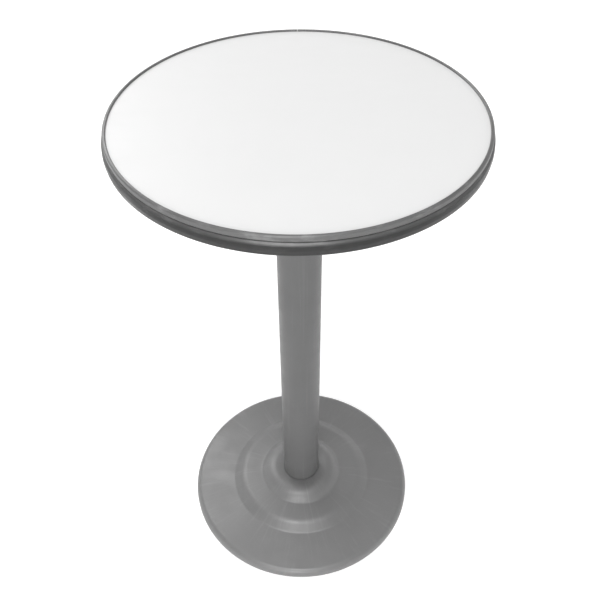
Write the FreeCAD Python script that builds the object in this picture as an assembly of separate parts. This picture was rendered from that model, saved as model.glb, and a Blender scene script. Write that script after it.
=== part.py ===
"""Bar-height bistro table: a round laminate top on one steel column and a stepped cast-iron base.

Millimetres, +Z up. The origin is on the floor, on the column's axis, and -Y is the front.
Each function below makes one piece of the table, and main() writes each piece to parts/NODE.step.
"""
import FreeCAD
import Part
import math
import os

# Driving dimensions
TABLE_HEIGHT = 1100.0        # floor to the laminate
TOP_DIAMETER = 650.0         # over the edge trim
BASE_DIAMETER = 554.0
COLUMN_DIAMETER = 88.9
COLUMN_WALL = 2.0

# Top: a particle-board core between two laminate sheets, inside a metal edge trim
TRIM_WIDTH = 10.0            # radially, at the trim's widest
LAMINATE = 1.0
CORE_THICKNESS = 28.0
TRIM_LIP = 3.5               # the trim stands this far above the laminate
TRIM_SKIRT = 1.5             # and this far below the backing sheet
TRIM_WALL = 1.8
BEAD_WIDTH = 6.0             # the trim's upper bead, radially
GROOVE_DROP = 8.0            # the groove under the bead, below the laminate
GROOVE_DEPTH = 1.8
TONGUE_DEPTH = 9.0
TONGUE_THICKNESS = 2.0
SLOT_CLEARANCE = 0.1
BARB_CLEARANCE = 0.05
BARB_START = 3.0             # the first barb's face, inwards from the core's edge
BARB_HEEL = 5.0              # where the first barb has tapered away
BARB_END = 6.0               # the second barb's face
BARB_RELIEF = 0.2            # the tongue is thinner than this each side between its barbs
BARB_LEAD = 0.5              # and its tip narrows by this each side
SLOT_SPARE_DEPTH = 1.0       # the core's slot is deeper than the tongue
TRIM_SEAM = 0.5              # the gap where the bent strip's two ends meet, at the back
LIP_BEVEL_WIDTH = 1.4        # at the lip's inner edge
LIP_BEVEL_DROP = 1.2
LIP_ROUNDING = 0.8
BEAD_SHOULDER = 1.4          # from the lip down to the bead's outer corner
BEAD_ROUNDING = 2.6
BEAD_HEEL = 1.8              # from the groove up to the bead's lower corner
BEAD_HEEL_ROUNDING = 1.6
NECK_RISE = 0.6              # the groove's floor, above and below its own height
NECK_FALL = 0.8
BAND_INSET = 0.8             # the band's upper corner: in from its widest, and down from the groove
BAND_DROP = 3.4
BAND_CORNER_ROUNDING = 3.0
BAND_ROUNDING = 8.0
BAND_HEEL_INSET = 1.4        # the band's lower corner: in from its widest, and up from its bottom
BAND_HEEL_RISE = 2.4
BAND_TURN = 5.4              # the band's flat bottom starts this far in
BAND_TURN_ROUNDING = 2.0
FINE_ROUNDING = 0.4
CHANNEL_ROUNDING = 0.5
CHANNEL_REACH = 2.4          # from the slot's height to the channels above and below it
CHANNEL_SIDE = 1.2           # the wall beside the upper channel
CHANNEL_ROOF = 4.5           # the upper channel's roof below the lip, and at its inner side
CHANNEL_ROOF_INNER = 4.0
TRIM_FLOOR = 2.2             # the wall under the lower channel
LOWER_CHANNEL_HEEL = 3.2     # the walls beside the lower channel, at its bottom and its top
LOWER_CHANNEL_SIDE = 2.2
LOWER_CHANNEL_DROP = 4.4

# Tie rod and its fasteners, M12
ROD_DIAMETER = 12.0
ROD_HOLE_DIAMETER = 13.5
ROD_SHANK_DIAMETER = 10.8
ROD_THREAD_LENGTH = 70.0
ROD_CHAMFER = 1.2
ROD_SHOWS_ABOVE = 2.0        # past the nuts
ROD_SHOWS_BELOW = 4.0
TOP_WASHER_DIAMETER = 30.0
TOP_WASHER_THICKNESS = 2.5
BASE_WASHER_DIAMETER = 44.0
BASE_WASHER_THICKNESS = 4.0
LOCK_WASHER_DIAMETER = 21.0
LOCK_WASHER_THICKNESS = 3.0
LOCK_WASHER_CLEARANCE = 0.2
LOCK_WASHER_GAP = 2.0
LOCK_WASHER_SLANT_DEGREES = 30.0
NUT_FLATS = 19.0
NUT_HEIGHT = 10.0
NUT_CHAMFER_DEGREES = 30.0
THREAD_CLEARANCE = 0.02

# Spider that carries the top
SPIDER_REACH = 150.0         # centre to the end of an arm
SPIDER_ARM_ROOT = 52.0       # an arm's width at the hub
SPIDER_ARM_TIP = 40.0
SPIDER_PLATE = 7.0
SPIDER_SKIRT = 20.0          # depth of the hub's ring around the column
SPIDER_SKIRT_WALL = 5.5
SPIDER_PLUG_DEPTH = 24.0
SPIDER_RIB = 6.0
SPIDER_RIB_DEPTH = 11.0
SPIDER_RIB_TIP_DEPTH = 2.0
SPIDER_RIB_ROUNDING = 4.0
SPIDER_RIB_STOP = 5.0        # short of the arm's end
SPIDER_EDGE_ROUNDING = 2.0
FUSE_OVERLAP = 0.5           # how far one fused shape runs into the next
NUT_POCKET_DIAMETER = 34.0
NUT_POCKET_DEPTH = 16.0
SCREW_CIRCLE_REACH = 128.0   # the screws' distance along an arm
SCREW_OFFSET = 12.0          # and to each side of its rib
ARMS = 4

# Wood screws, pan head
SCREW_DIAMETER = 5.0
SCREW_LENGTH = 25.0
SCREW_HEAD_DIAMETER = 10.0
SCREW_HEAD_HEIGHT = 3.6
SCREW_POINT = 4.0
SCREW_HEAD_ROUNDING = 2.4
SCREW_HOLE_CLEARANCE = 0.4
SCREW_HOLE_SPARE_DEPTH = 1.0
RECESS_WIDTH = 1.4
RECESS_LENGTH = 5.2
RECESS_DEPTH = 2.0

# Base casting, from the rim inwards: radius and height of each step
RIM_GAP = 3.0                # floor to the rim, with the glides screwed right in
RIM_TOP = 21.0
RIM_ROUNDING = 15.0
RIM_EDGE_INSET = 1.0         # the rim's lower edge
RIM_EDGE_RISE = 2.0
RIM_EDGE_ROUNDING = 1.2
RIM_FOOT_ROUNDING = 0.8
RIM_LAND = (10.0, 22.0)      # the rim's thickness at its bottom and at the underside's ceiling
STEP_FOOT = (176.0, 31.0)
STEP_CREST = (152.0, 46.0)
HUB_FOOT = (102.0, 49.0)
HUB_CREST = (80.0, 68.0)
HUB_TOP = 66.0               # beside the column
BASE_WALL = 8.0
STEP_FOOT_ROUNDING = 16.0
STEP_CREST_ROUNDING = 40.0
HUB_FOOT_ROUNDING = 14.0
HUB_CREST_ROUNDING = 45.0
HUB_FOOT_INSET = 6.0         # the underside follows each corner this far inwards
STEP_INSET = 7.0
SOCKET_DEPTH = 6.0
SOCKET_CLEARANCE = 0.15
BOSS_RADIUS = 26.0
BOSS_BOTTOM = 32.0
BOSS_DRAFT = 4.0
UNDERSIDE_ROUNDINGS = (2.0, 5.0, 5.0, 5.0, 4.0, 4.0, 5.0, 1.0)
RIB_THICKNESS = 8.0
RIB_END_HEIGHT = 9.0         # height of a rib's lower edge at the rim
RIB_START_RISE = 3.0         # and above the boss's bottom at the boss

# Levelling glides, M8 x 1.25
GLIDE_COUNT = 4
GLIDE_CIRCLE_RADIUS = 232.0
FIRST_DEGREES = 45.0         # the first glide, rib and spider arm, counted from +X
GLIDE_THREAD_DIAMETER = 8.0
GLIDE_BOSS_RADIUS = 13.0
GLIDE_BOSS_DRAFT = 2.0
GLIDE_BOSS_BOTTOM = 9.0
GLIDE_HOLE_TOP = 19.5
STUD_TOP = 18.5
STUD_CLEARANCE = 0.06
STUD_CHAMFER = 1.0
HEX_FLATS = 13.0
HEX_BOTTOM = 5.6
HEX_TOP = 8.5
PIVOT_RADIUS = 3.0           # the stud's lower end, which turns in the pad
PIVOT_FLANGE_RADIUS = 4.2
PIVOT_FLANGE_HEIGHT = 1.4
PIVOT_BOTTOM = 1.8
PAD_DIAMETER = 32.0
PAD_HEIGHT = 5.5
PAD_BEVEL = 1.2
PAD_BEVEL_ROUNDING = 0.5
PAD_WALL_TOP = 2.6
PAD_WALL_ROUNDING = 0.8
PAD_SHOULDER_RADIUS = 10.0
PAD_SHOULDER_ROUNDING = 1.0

# Worked out
CORE_RADIUS = TOP_DIAMETER / 2 - TRIM_WIDTH
CORE_TOP = TABLE_HEIGHT - LAMINATE
CORE_BOTTOM = CORE_TOP - CORE_THICKNESS
BACKING_BOTTOM = CORE_BOTTOM - LAMINATE
SLOT_MIDDLE = (CORE_TOP + CORE_BOTTOM) / 2
COLUMN_RADIUS = COLUMN_DIAMETER / 2
COLUMN_INNER_RADIUS = COLUMN_RADIUS - COLUMN_WALL
COLUMN_FOOT = HUB_TOP - SOCKET_DEPTH
SOCKET_RADIUS = COLUMN_RADIUS + SOCKET_CLEARANCE
PLATE_BOTTOM = BACKING_BOTTOM - SPIDER_PLATE
SKIRT_BOTTOM = BACKING_BOTTOM - SPIDER_SKIRT
COLUMN_TOP = PLATE_BOTTOM
POCKET_FLOOR = BACKING_BOTTOM - NUT_POCKET_DEPTH

BASE_WASHER_BOTTOM = BOSS_BOTTOM - BASE_WASHER_THICKNESS
TOP_NUT_BOTTOM = POCKET_FLOOR + TOP_WASHER_THICKNESS
LOCK_WASHER_BOTTOM = BASE_WASHER_BOTTOM - LOCK_WASHER_THICKNESS
BASE_NUT_BOTTOM = LOCK_WASHER_BOTTOM - NUT_HEIGHT
ROD_TOP = TOP_NUT_BOTTOM + NUT_HEIGHT + ROD_SHOWS_ABOVE
ROD_BOTTOM = BASE_NUT_BOTTOM - ROD_SHOWS_BELOW

UP = FreeCAD.Vector(0, 0, 1)
ORIGIN = FreeCAD.Vector(0, 0, 0)


def point(radius, height):
    """A point of a profile, which is drawn in the XZ plane."""
    return FreeCAD.Vector(radius, 0, height)


def profile(corners):
    """A face in the XZ plane through corners (radius, height, rounding), each rounded by a tangent arc."""
    edges = []
    starts, ends = [], []
    count = len(corners)
    for i, (radius, height, rounding) in enumerate(corners):
        here = point(radius, height)
        back = point(*corners[i - 1][:2]).sub(here).normalize()
        ahead = point(*corners[(i + 1) % count][:2]).sub(here).normalize()
        if not rounding:
            starts.append(here)
            ends.append(here)
            continue
        half = back.getAngle(ahead) / 2
        reach = rounding / math.tan(half)
        bisector = (back + ahead).normalize()
        middle = here + bisector * (rounding / math.sin(half) - rounding)
        starts.append(here + back * reach)
        ends.append(here + ahead * reach)
        edges.append(Part.Arc(starts[i], middle, ends[i]).toShape())
    for i in range(count):
        following = starts[(i + 1) % count]
        if ends[i].distanceToPoint(following) > 1e-6:
            edges.append(Part.makeLine(ends[i], following))
    return Part.Face(Part.Wire(Part.__sortEdges__(edges)))


def turned(corners):
    """A solid of revolution about the column's axis."""
    return profile(corners).revolve(ORIGIN, UP, 360)


def ring(outer, inner, bottom, height):
    """A plain ring, or a disc where inner is 0."""
    disc = Part.makeCylinder(outer, height, point(0, bottom))
    if not inner:
        return disc
    return disc.cut(Part.makeCylinder(inner, height, point(0, bottom)))


def placed(shape, x, y):
    """A copy of shape moved sideways."""
    moved = shape.copy()
    moved.translate(FreeCAD.Vector(x, y, 0))
    return moved


def around(shape, count, first_degrees=0.0):
    """Copies of shape turned about the column's axis, evenly spaced."""
    copies = []
    for i in range(count):
        copy = shape.copy()
        copy.rotate(ORIGIN, UP, first_degrees + i * 360.0 / count)
        copies.append(copy)
    return copies


def hex_prism(flats, bottom, height):
    """A six-sided prism, its corners turned down by a nut's usual chamfer."""
    corner = flats / math.sqrt(3)
    corners = []
    for i in range(6):
        turn = math.radians(60 * i)
        corners.append(FreeCAD.Vector(corner * math.cos(turn), corner * math.sin(turn), bottom))
    prism = Part.Face(Part.makePolygon(corners + corners[:1])).extrude(UP * height)
    drop = (corner - flats / 2) * math.tan(math.radians(NUT_CHAMFER_DEGREES))
    envelope = turned([
        (0, bottom, 0), (flats / 2, bottom, 0), (corner, bottom + drop, 0),
        (corner, bottom + height - drop, 0), (flats / 2, bottom + height, 0), (0, bottom + height, 0),
    ])
    return prism.common(envelope)


def top_laminate():
    return ring(CORE_RADIUS, 0, CORE_TOP, LAMINATE)


def backing_laminate():
    sheet = ring(CORE_RADIUS, 0, BACKING_BOTTOM, LAMINATE)
    return sheet.cut(screw_holes(SCREW_DIAMETER / 2 + THREAD_CLEARANCE))


def top_core():
    """The board, with the slot that the trim's tongue is driven into and the screws' holes."""
    half_slot = TONGUE_THICKNESS / 2 + SLOT_CLEARANCE
    slot_floor = CORE_RADIUS - TONGUE_DEPTH - SLOT_SPARE_DEPTH
    board = turned([
        (0, CORE_BOTTOM, 0), (CORE_RADIUS, CORE_BOTTOM, 0),
        (CORE_RADIUS, SLOT_MIDDLE - half_slot, 0), (slot_floor, SLOT_MIDDLE - half_slot, 0),
        (slot_floor, SLOT_MIDDLE + half_slot, 0), (CORE_RADIUS, SLOT_MIDDLE + half_slot, 0),
        (CORE_RADIUS, CORE_TOP, 0), (0, CORE_TOP, 0),
    ])
    return board.cut(screw_holes(SCREW_DIAMETER / 2 + THREAD_CLEARANCE))


def edge_trim():
    """The bent metal strip: an upper bead, a groove, a wider rounded band, and a tongue with two barbs."""
    inner = CORE_RADIUS
    outer = TOP_DIAMETER / 2
    top = TABLE_HEIGHT + TRIM_LIP
    bottom = BACKING_BOTTOM - TRIM_SKIRT
    groove = TABLE_HEIGHT - GROOVE_DROP
    bead = inner + BEAD_WIDTH
    neck = bead - GROOVE_DEPTH
    band = (groove + bottom) / 2
    section = profile([
        (inner, top - LIP_BEVEL_DROP, 0), (inner + LIP_BEVEL_WIDTH, top, LIP_ROUNDING),
        (bead, top - BEAD_SHOULDER, BEAD_ROUNDING), (bead, groove + BEAD_HEEL, BEAD_HEEL_ROUNDING),
        (neck, groove + NECK_RISE, FINE_ROUNDING), (neck, groove - NECK_FALL, FINE_ROUNDING),
        (outer - BAND_INSET, groove - BAND_DROP, BAND_CORNER_ROUNDING), (outer, band, BAND_ROUNDING),
        (outer - BAND_HEEL_INSET, bottom + BAND_HEEL_RISE, BAND_CORNER_ROUNDING),
        (outer - BAND_TURN, bottom, BAND_TURN_ROUNDING), (inner, bottom, FINE_ROUNDING),
    ])
    wall = inner + TRIM_WALL
    side = neck - CHANNEL_SIDE
    floor = bottom + TRIM_FLOOR
    channels = [
        profile([
            (wall, SLOT_MIDDLE + CHANNEL_REACH, CHANNEL_ROUNDING),
            (side, SLOT_MIDDLE + CHANNEL_REACH, CHANNEL_ROUNDING),
            (side, top - CHANNEL_ROOF, CHANNEL_ROUNDING), (wall, top - CHANNEL_ROOF_INNER, CHANNEL_ROUNDING),
        ]),
        profile([
            (wall, floor, CHANNEL_ROUNDING), (outer - BAND_TURN, floor, CHANNEL_ROUNDING),
            (outer - LOWER_CHANNEL_HEEL, floor + TRIM_FLOOR, CHANNEL_ROUNDING),
            (outer - LOWER_CHANNEL_SIDE, SLOT_MIDDLE - LOWER_CHANNEL_DROP, CHANNEL_ROUNDING),
            (wall, SLOT_MIDDLE - CHANNEL_REACH, CHANNEL_ROUNDING),
        ]),
    ]
    for channel in channels:
        section = section.cut(channel)
    strip = section.revolve(ORIGIN, UP, 360).fuse(trim_tongue()).removeSplitter()
    seam = Part.makeBox(TRIM_SEAM, TOP_DIAMETER, 2 * CORE_THICKNESS)
    seam.translate(FreeCAD.Vector(-TRIM_SEAM / 2, 0, CORE_BOTTOM - CORE_THICKNESS / 2))
    return strip.cut(seam)


def trim_tongue():
    """The tongue that is driven into the core's slot, with two barbs above and two below."""
    inner = CORE_RADIUS
    tip = inner - TONGUE_DEPTH
    half = TONGUE_THICKNESS / 2
    barb = half + SLOT_CLEARANCE - BARB_CLEARANCE
    thin = half - BARB_RELIEF
    upper = [
        (inner + TRIM_WALL / 2, half), (inner - BARB_START, half), (inner - BARB_START, barb),
        (inner - BARB_HEEL, thin), (inner - BARB_END, thin), (inner - BARB_END, barb),
        (tip, half - BARB_LEAD),
    ]
    lower = [(radius, -rise) for radius, rise in reversed(upper)]
    return turned([(radius, SLOT_MIDDLE + rise, 0) for radius, rise in upper + lower])


def column_tube():
    return ring(COLUMN_RADIUS, COLUMN_INNER_RADIUS, COLUMN_FOOT, COLUMN_TOP - COLUMN_FOOT)


def screw_places():
    """Where the spider's screws go: one each side of every arm's rib."""
    places = []
    for i in range(ARMS):
        turn = math.radians(i * 360.0 / ARMS + FIRST_DEGREES)
        for side in (-SCREW_OFFSET, SCREW_OFFSET):
            x = SCREW_CIRCLE_REACH * math.cos(turn) - side * math.sin(turn)
            y = SCREW_CIRCLE_REACH * math.sin(turn) + side * math.cos(turn)
            places.append((x, y))
    return places


def screw_holes(radius):
    """The screws' holes, from under the spider's plate up to the screws' points."""
    depth = SCREW_LENGTH + SCREW_HOLE_SPARE_DEPTH
    hole = Part.makeCylinder(radius, depth, point(0, PLATE_BOTTOM))
    return Part.Compound([placed(hole, x, y) for x, y in screw_places()])


def spider_screws():
    """Eight pan-head wood screws with a cross recess, heads down."""
    shank = SCREW_DIAMETER / 2
    head = SCREW_HEAD_DIAMETER / 2
    bottom = PLATE_BOTTOM - SCREW_HEAD_HEIGHT
    tip = PLATE_BOTTOM + SCREW_LENGTH
    body = turned([
        (0, bottom, 0), (head, bottom, SCREW_HEAD_ROUNDING), (head, PLATE_BOTTOM, 0),
        (shank, PLATE_BOTTOM, 0), (shank, tip - SCREW_POINT, 0), (0, tip, 0),
    ])
    for size in ((RECESS_LENGTH, RECESS_WIDTH), (RECESS_WIDTH, RECESS_LENGTH)):
        slot = Part.makeBox(*size, RECESS_DEPTH)
        slot.translate(FreeCAD.Vector(-size[0] / 2, -size[1] / 2, bottom))
        body = body.cut(slot)
    return Part.Compound([placed(body, x, y) for x, y in screw_places()])


def spider_arm():
    """One arm along +X: a tapered plate with a round end and a rib under it that runs out towards the tip."""
    root = SPIDER_ARM_ROOT / 2
    tip = SPIDER_ARM_TIP / 2
    straight = SPIDER_REACH - tip
    outline = Part.Wire([
        Part.makeLine(FreeCAD.Vector(0, -root, PLATE_BOTTOM), FreeCAD.Vector(straight, -tip, PLATE_BOTTOM)),
        Part.Arc(
            FreeCAD.Vector(straight, -tip, PLATE_BOTTOM),
            FreeCAD.Vector(SPIDER_REACH, 0, PLATE_BOTTOM),
            FreeCAD.Vector(straight, tip, PLATE_BOTTOM),
        ).toShape(),
        Part.makeLine(FreeCAD.Vector(straight, tip, PLATE_BOTTOM), FreeCAD.Vector(0, root, PLATE_BOTTOM)),
        Part.makeLine(FreeCAD.Vector(0, root, PLATE_BOTTOM), FreeCAD.Vector(0, -root, PLATE_BOTTOM)),
    ])
    plate = Part.Face(outline).extrude(UP * SPIDER_PLATE)
    rib_start = COLUMN_RADIUS + SPIDER_SKIRT_WALL / 2
    rib_top = PLATE_BOTTOM + FUSE_OVERLAP
    rib = profile([
        (rib_start, PLATE_BOTTOM - SPIDER_RIB_DEPTH, 0),
        (straight, PLATE_BOTTOM - SPIDER_RIB_TIP_DEPTH, SPIDER_RIB_ROUNDING),
        (SPIDER_REACH - SPIDER_RIB_STOP, rib_top, 0), (rib_start, rib_top, 0),
    ]).extrude(FreeCAD.Vector(0, SPIDER_RIB, 0))
    rib.translate(FreeCAD.Vector(0, -SPIDER_RIB / 2, 0))
    return plate.fuse(rib)


def top_spider():
    """The cross-shaped casting under the top: a hub that caps the column, and four arms."""
    skirt = SOCKET_RADIUS + SPIDER_SKIRT_WALL
    plug = COLUMN_INNER_RADIUS - SOCKET_CLEARANCE
    plug_bottom = BACKING_BOTTOM - SPIDER_PLUG_DEPTH
    pocket = NUT_POCKET_DIAMETER / 2
    hole = ROD_HOLE_DIAMETER / 2
    hub = turned([
        (hole, plug_bottom, 0), (plug, plug_bottom, SPIDER_EDGE_ROUNDING), (plug, COLUMN_TOP, 0),
        (SOCKET_RADIUS, COLUMN_TOP, 0), (SOCKET_RADIUS, SKIRT_BOTTOM, 0),
        (skirt, SKIRT_BOTTOM, SPIDER_EDGE_ROUNDING), (skirt, BACKING_BOTTOM, 0),
        (pocket, BACKING_BOTTOM, 0), (pocket, POCKET_FLOOR, 0), (hole, POCKET_FLOOR, 0),
    ])
    core = ring(skirt, 0, PLATE_BOTTOM, SPIDER_PLATE)
    arms = [arm.cut(core) for arm in around(spider_arm(), ARMS, FIRST_DEGREES)]
    arms = [arm.cut(ring(skirt - FUSE_OVERLAP, 0, SKIRT_BOTTOM, SPIDER_SKIRT)) for arm in arms]
    casting = hub.multiFuse(arms).removeSplitter()
    return casting.cut(screw_holes(SCREW_DIAMETER / 2 + SCREW_HOLE_CLEARANCE))


def tie_rod():
    """The rod that draws the base, the column and the spider together: a plain shank with threaded ends."""
    thread = ROD_DIAMETER / 2
    shank = ROD_SHANK_DIAMETER / 2
    neck = thread - shank
    lower = ROD_BOTTOM + ROD_THREAD_LENGTH
    upper = ROD_TOP - ROD_THREAD_LENGTH
    return turned([
        (0, ROD_BOTTOM, 0), (thread - ROD_CHAMFER, ROD_BOTTOM, 0), (thread, ROD_BOTTOM + ROD_CHAMFER, 0),
        (thread, lower, 0), (shank, lower + neck, 0), (shank, upper - neck, 0), (thread, upper, 0),
        (thread, ROD_TOP - ROD_CHAMFER, 0), (thread - ROD_CHAMFER, ROD_TOP, 0), (0, ROD_TOP, 0),
    ])


def tie_rod_nut(bottom):
    bore = Part.makeCylinder(ROD_DIAMETER / 2 + THREAD_CLEARANCE, NUT_HEIGHT, point(0, bottom))
    return hex_prism(NUT_FLATS, bottom, NUT_HEIGHT).cut(bore)


def flat_washer(diameter, thickness, bottom):
    return ring(diameter / 2, ROD_HOLE_DIAMETER / 2, bottom, thickness)


def tie_rod_lock_washer():
    """A split spring washer, its cut slanting across the ring."""
    bore = ROD_DIAMETER / 2 + LOCK_WASHER_CLEARANCE
    washer = ring(LOCK_WASHER_DIAMETER / 2, bore, LOCK_WASHER_BOTTOM, LOCK_WASHER_THICKNESS)
    cut = Part.makeBox(LOCK_WASHER_DIAMETER, LOCK_WASHER_GAP, 4 * LOCK_WASHER_THICKNESS)
    cut.translate(FreeCAD.Vector(0, -LOCK_WASHER_GAP / 2, -2 * LOCK_WASHER_THICKNESS))
    cut.rotate(ORIGIN, FreeCAD.Vector(1, 0, 0), LOCK_WASHER_SLANT_DEGREES)
    cut.translate(FreeCAD.Vector(0, 0, LOCK_WASHER_BOTTOM + LOCK_WASHER_THICKNESS / 2))
    return washer.cut(cut)


def lowered(corner, inset, drop):
    """A corner of the casting's upper side moved inwards and down, to its underside."""
    return corner[0] - inset, corner[1] - drop


def underside():
    """The casting's lower profile, from the rod's boss out to the rim."""
    rim = BASE_DIAMETER / 2
    ceiling = COLUMN_FOOT - BASE_WALL
    return [
        (BOSS_RADIUS, BOSS_BOTTOM), (BOSS_RADIUS + BOSS_DRAFT, ceiling), (HUB_CREST[0] - BASE_WALL, ceiling),
        lowered(HUB_FOOT, HUB_FOOT_INSET, BASE_WALL), lowered(STEP_CREST, STEP_INSET, BASE_WALL),
        lowered(STEP_FOOT, STEP_INSET, BASE_WALL), (rim - RIM_LAND[1], RIM_TOP - BASE_WALL),
        (rim - RIM_LAND[0], RIM_GAP),
    ]


def base_shell():
    """The casting's turned shape: a rim, two steps up to the hub, the column's socket and the rod's boss."""
    rim = BASE_DIAMETER / 2
    hole = ROD_HOLE_DIAMETER / 2
    outside = [
        (rim - RIM_EDGE_INSET, RIM_GAP, RIM_FOOT_ROUNDING), (rim, RIM_GAP + RIM_EDGE_RISE, RIM_EDGE_ROUNDING),
        (rim, RIM_TOP, RIM_ROUNDING), (*STEP_FOOT, STEP_FOOT_ROUNDING), (*STEP_CREST, STEP_CREST_ROUNDING),
        (*HUB_FOOT, HUB_FOOT_ROUNDING), (*HUB_CREST, HUB_CREST_ROUNDING), (SOCKET_RADIUS, HUB_TOP, 0),
        (SOCKET_RADIUS, COLUMN_FOOT, 0), (hole, COLUMN_FOOT, 0), (hole, BOSS_BOTTOM, 0),
    ]
    inside = [(*corner, rounding) for corner, rounding in zip(underside(), UNDERSIDE_ROUNDINGS)]
    return turned(outside + inside)


def base_rib():
    """One stiffening rib under the casting, along +X, from the boss to the rim, sunk into both."""
    sunk = BASE_WALL / 2
    roof = [(radius, height + sunk, 0) for radius, height in reversed(underside()[2:-1])]
    start = BOSS_RADIUS - sunk
    rib = profile([
        (start, BOSS_BOTTOM + RIB_START_RISE, 0), (roof[0][0], RIB_END_HEIGHT, 0), *roof,
        (start, roof[-1][1], 0),
    ]).extrude(FreeCAD.Vector(0, RIB_THICKNESS, 0))
    rib.translate(FreeCAD.Vector(0, -RIB_THICKNESS / 2, 0))
    return rib


def glide_places():
    places = []
    for i in range(GLIDE_COUNT):
        turn = math.radians(FIRST_DEGREES + i * 360.0 / GLIDE_COUNT)
        places.append((GLIDE_CIRCLE_RADIUS * math.cos(turn), GLIDE_CIRCLE_RADIUS * math.sin(turn)))
    return places


def base_casting():
    """The shell with its ribs, and a boss for each glide to screw into at each rib's end."""
    depth = GLIDE_HOLE_TOP - GLIDE_BOSS_BOTTOM
    mouth = point(0, GLIDE_BOSS_BOTTOM)
    boss = Part.makeCone(GLIDE_BOSS_RADIUS, GLIDE_BOSS_RADIUS + GLIDE_BOSS_DRAFT, depth, mouth)
    hole = Part.makeCylinder(GLIDE_THREAD_DIAMETER / 2, depth, mouth)
    bosses = [placed(boss, x, y) for x, y in glide_places()]
    holes = [placed(hole, x, y) for x, y in glide_places()]
    casting = base_shell().multiFuse(around(base_rib(), GLIDE_COUNT, FIRST_DEGREES) + bosses)
    return casting.cut(Part.Compound(holes)).removeSplitter()


def glide_stud(x, y):
    """A levelling stud: a threaded end, a hexagon for a spanner, and a flanged pivot for the pad."""
    thread = GLIDE_THREAD_DIAMETER / 2 - STUD_CLEARANCE
    flange_top = PIVOT_BOTTOM + PIVOT_FLANGE_HEIGHT
    shaft = turned([
        (0, PIVOT_BOTTOM, 0), (PIVOT_FLANGE_RADIUS, PIVOT_BOTTOM, 0), (PIVOT_FLANGE_RADIUS, flange_top, 0),
        (PIVOT_RADIUS, flange_top, 0), (PIVOT_RADIUS, HEX_BOTTOM, 0), (thread, HEX_BOTTOM, 0),
        (thread, STUD_TOP - STUD_CHAMFER, 0), (thread - STUD_CHAMFER, STUD_TOP, 0), (0, STUD_TOP, 0),
    ])
    stud = shaft.fuse(hex_prism(HEX_FLATS, HEX_BOTTOM, HEX_TOP - HEX_BOTTOM)).removeSplitter()
    return placed(stud, x, y)


def glide_pad(x, y):
    """A moulded pad that stands on the floor, with the undercut socket that the stud's pivot snaps into."""
    edge = PAD_DIAMETER / 2
    pivot = PIVOT_RADIUS + STUD_CLEARANCE
    flange = PIVOT_FLANGE_RADIUS + STUD_CLEARANCE
    flange_top = PIVOT_BOTTOM + PIVOT_FLANGE_HEIGHT + STUD_CLEARANCE
    seat = PIVOT_BOTTOM - STUD_CLEARANCE
    pad = turned([
        (0, 0, 0), (edge - PAD_BEVEL, 0, 0), (edge, PAD_BEVEL, PAD_BEVEL_ROUNDING),
        (edge, PAD_WALL_TOP, PAD_WALL_ROUNDING), (PAD_SHOULDER_RADIUS, PAD_HEIGHT, PAD_SHOULDER_ROUNDING),
        (pivot, PAD_HEIGHT, 0), (pivot, flange_top, 0),
        (flange, flange_top, 0), (flange, seat, 0), (0, seat, 0),
    ])
    return placed(pad, x, y)


def pieces():
    """Every piece of the table by its node's name."""
    made = {
        "top_laminate": top_laminate(),
        "top_core": top_core(),
        "backing_laminate": backing_laminate(),
        "edge_trim": edge_trim(),
        "top_spider": top_spider(),
        "spider_screws": spider_screws(),
        "tie_rod": tie_rod(),
        "tie_rod_top_nut": tie_rod_nut(TOP_NUT_BOTTOM),
        "tie_rod_top_washer": flat_washer(TOP_WASHER_DIAMETER, TOP_WASHER_THICKNESS, POCKET_FLOOR),
        "column_tube": column_tube(),
        "base_casting": base_casting(),
        "tie_rod_base_washer": flat_washer(BASE_WASHER_DIAMETER, BASE_WASHER_THICKNESS, BASE_WASHER_BOTTOM),
        "tie_rod_lock_washer": tie_rod_lock_washer(),
        "tie_rod_base_nut": tie_rod_nut(BASE_NUT_BOTTOM),
    }
    for number, (x, y) in enumerate(glide_places(), 1):
        made[f"glide_stud_{number}"] = glide_stud(x, y)
        made[f"glide_pad_{number}"] = glide_pad(x, y)
    return made


def main():
    os.makedirs("parts", exist_ok=True)
    for name, shape in pieces().items():
        shape.exportStep(f"parts/{name}.step")
        print(f"{name}: {len(shape.Solids)} solid, {shape.Volume / 1000:.1f} cm3, valid {shape.isValid()}")


main()
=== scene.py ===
"""Looks of the bar-height bistro table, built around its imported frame.

Metres outside, +Z up, the origin on the floor under the column, and -Y is the front. Meshes are worked out
in millimetres and scaled once. Heights and outer sizes come from the frame's own boxes; what a box can't
give, such as a wall, a rounding or a thread, is given here.
"""
import math
import random

import bmesh
import bpy
from mathutils import Matrix, Vector


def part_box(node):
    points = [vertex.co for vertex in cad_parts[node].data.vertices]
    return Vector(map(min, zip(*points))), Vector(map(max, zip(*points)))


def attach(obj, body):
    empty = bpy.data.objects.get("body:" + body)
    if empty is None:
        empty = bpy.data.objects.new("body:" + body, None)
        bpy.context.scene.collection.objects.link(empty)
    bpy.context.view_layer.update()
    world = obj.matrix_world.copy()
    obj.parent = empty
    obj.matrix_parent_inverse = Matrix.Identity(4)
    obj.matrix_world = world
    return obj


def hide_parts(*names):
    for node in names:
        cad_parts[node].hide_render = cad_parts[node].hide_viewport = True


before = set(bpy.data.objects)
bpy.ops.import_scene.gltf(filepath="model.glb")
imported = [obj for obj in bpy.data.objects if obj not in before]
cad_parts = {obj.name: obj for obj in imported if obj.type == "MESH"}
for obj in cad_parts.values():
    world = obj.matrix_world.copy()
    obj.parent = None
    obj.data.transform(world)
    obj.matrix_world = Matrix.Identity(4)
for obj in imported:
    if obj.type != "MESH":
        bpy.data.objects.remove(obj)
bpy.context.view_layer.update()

MM = 0.001


def low(node):
    """A CAD node's lowest corner, in millimetres."""
    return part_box(node)[0] / MM


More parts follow.
